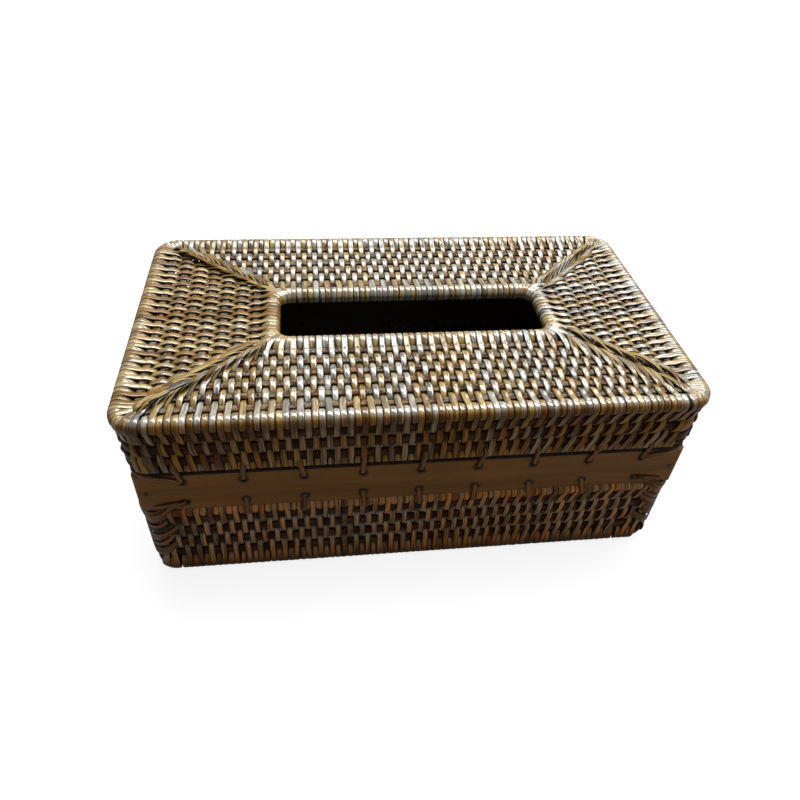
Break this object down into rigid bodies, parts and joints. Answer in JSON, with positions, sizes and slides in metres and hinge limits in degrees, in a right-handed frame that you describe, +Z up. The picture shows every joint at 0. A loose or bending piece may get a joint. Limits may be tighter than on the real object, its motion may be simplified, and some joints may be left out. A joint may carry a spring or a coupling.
{
  "type": "woven tissue box cover",
  "caption": "Rectangular open-bottomed tissue box cover of split cane woven over rods, with a stitched wooden band round its middle and a dispensing slot in the top.",
  "frame": {"origin": "middle of the plane that the cover rests on", "axes": "+X along the length, to the right when the front is seen, +Y to the back, +Z up"},
  "size_m": [0.2604, 0.1514, 0.1002],
  "materials": {
    "upper_cane": "varnished split cane, honey and grey-brown mixed",
    "lower_cane": "varnished split cane, darker",
    "stitch_cane": "split cane, grey-brown",
    "weave_rod": "dark stained rod",
    "seat_rod": "almost black stained rod",
    "band_wood": "satin brown wood with its grain along the band",
    "brad_metal": "dark"
  },
  "bodies": {
    "root": {"front_board": "band_wood", "back_board": "band_wood", "left_board": "band_wood", "right_board": "band_wood", "corner_brads": "brad_metal", "rim_ring": "weave_rod", "edge_ring": "weave_rod", "upper_side_ring_1": "weave_rod", "upper_side_ring_2": "weave_rod", "upper_side_ring_3": "weave_rod", "upper_border_ring": "weave_rod", "seat_ring": "seat_rod", "lower_border_ring": "weave_rod", "lower_side_rings": "weave_rod", "base_ring": "weave_rod", "front_rods": "weave_rod", "back_rods": "weave_rod", "left_rods": "weave_rod", "right_rods": "weave_rod", "front_upper_strips": "upper_cane", "back_upper_strips": "upper_cane", "left_upper_strips": "upper_cane", "right_upper_strips": "upper_cane", "front_lower_strips": "lower_cane", "back_lower_strips": "lower_cane", "left_lower_strips": "lower_cane", "right_lower_strips": "lower_cane", "upper_corner_strips": "upper_cane", "lower_corner_strips": "lower_cane", "mitre_strips": "upper_cane", "upper_stitches": "stitch_cane", "lower_stitches": "stitch_cane", "upper_corner_lashings": "stitch_cane", "lower_corner_lashings": "stitch_cane"}
  },
  "joints": []
}
